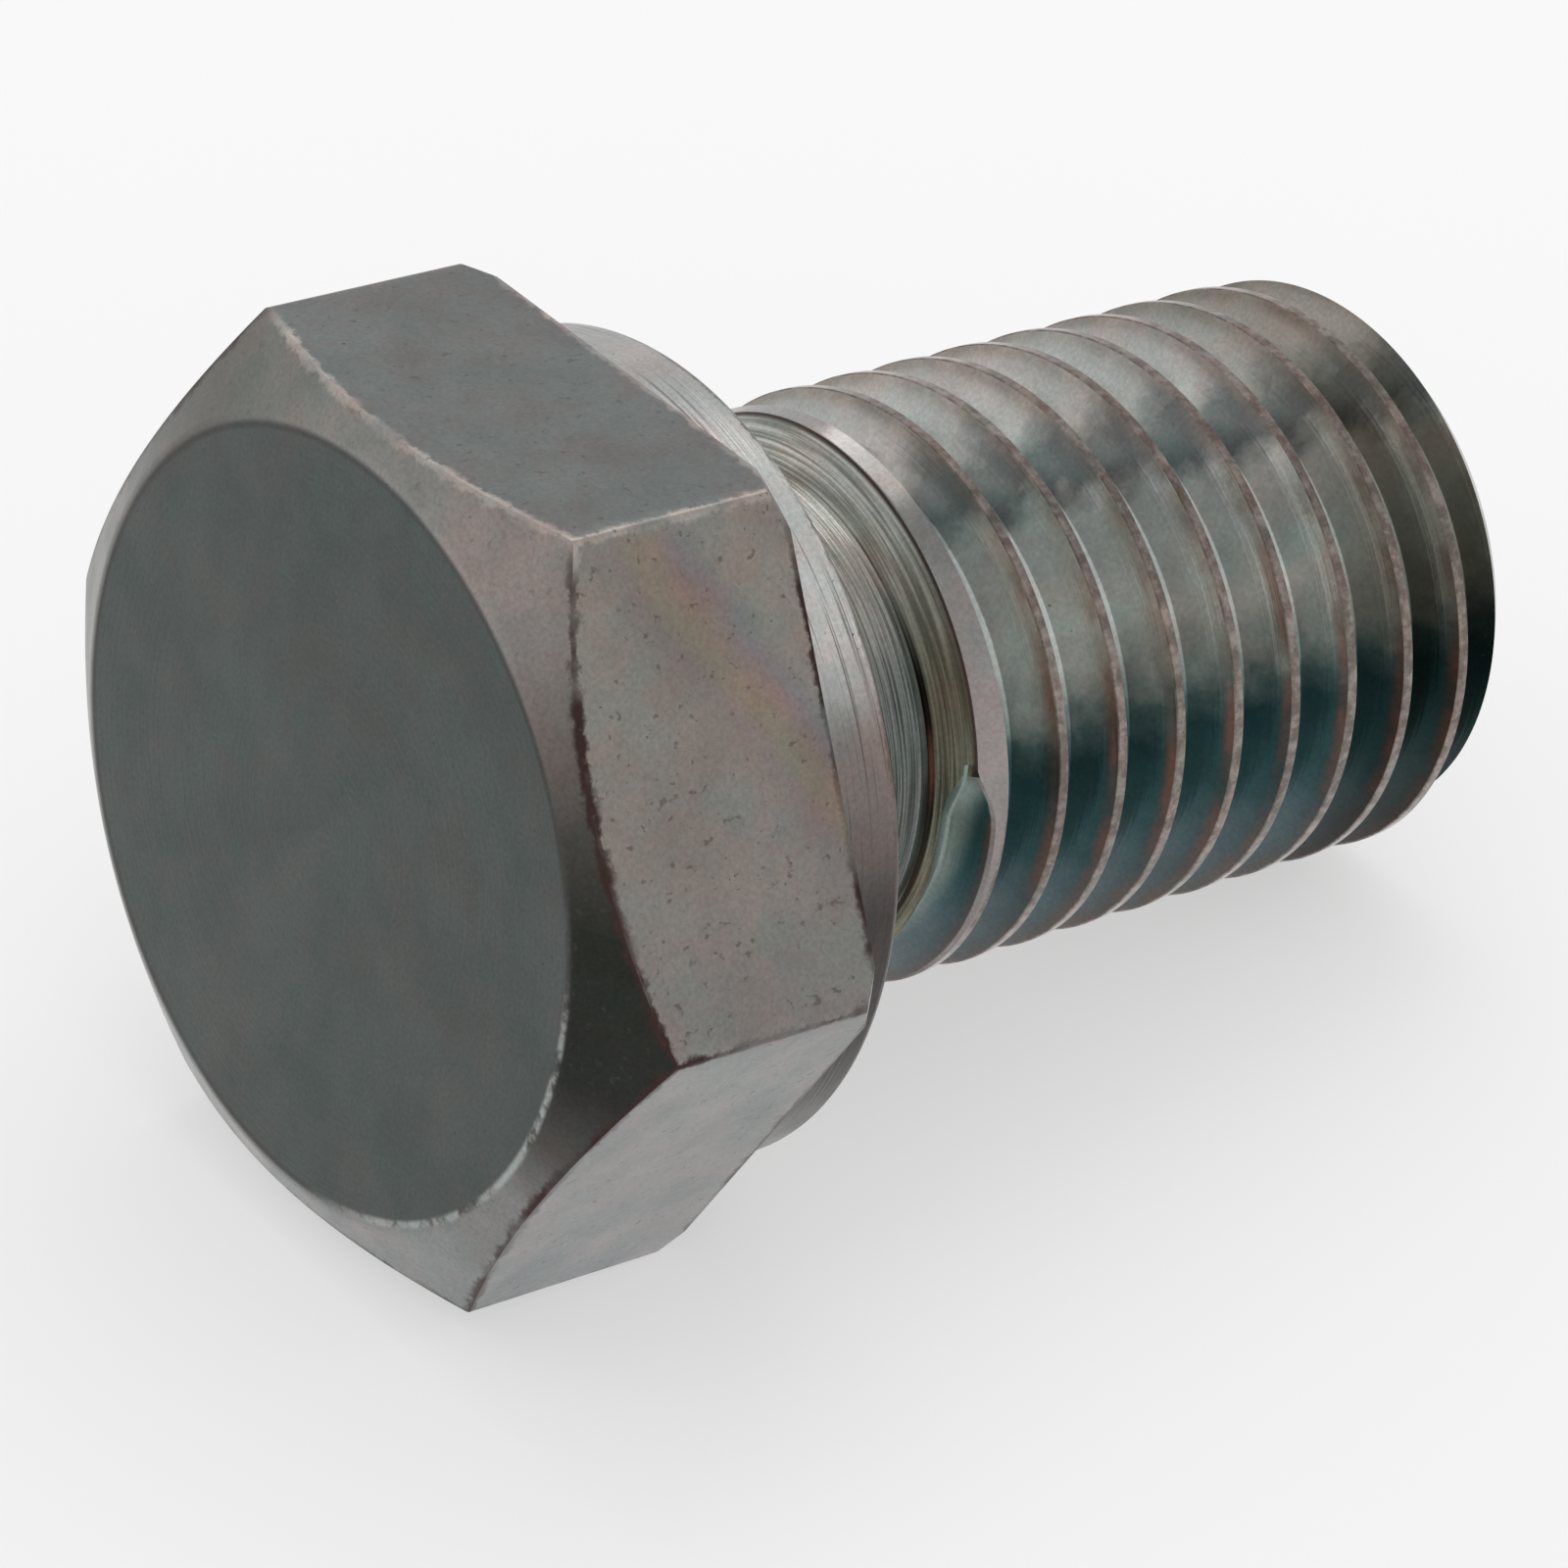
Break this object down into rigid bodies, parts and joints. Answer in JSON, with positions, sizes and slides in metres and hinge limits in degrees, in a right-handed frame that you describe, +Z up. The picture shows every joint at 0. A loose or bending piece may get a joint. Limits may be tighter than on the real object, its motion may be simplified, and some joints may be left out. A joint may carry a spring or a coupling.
{
  "type": "oil drain plug",
  "caption": "Drain plug in one piece: a chamfered hexagon head, a round seat collar, a turned neck and a threaded shank with a chamfered tip, lying on its side.",
  "frame": {"origin": "middle of the part's outline on the table it lies on", "axes": "+Z up from the table, +X towards the threaded tip, +Y across the hexagon's corners"},
  "size_m": [0.027, 0.0196, 0.0176],
  "materials": {
    "plated_steel": "satin zinc plating"
  },
  "bodies": {
    "root": {"drain_plug": "plated_steel"}
  },
  "joints": []
}
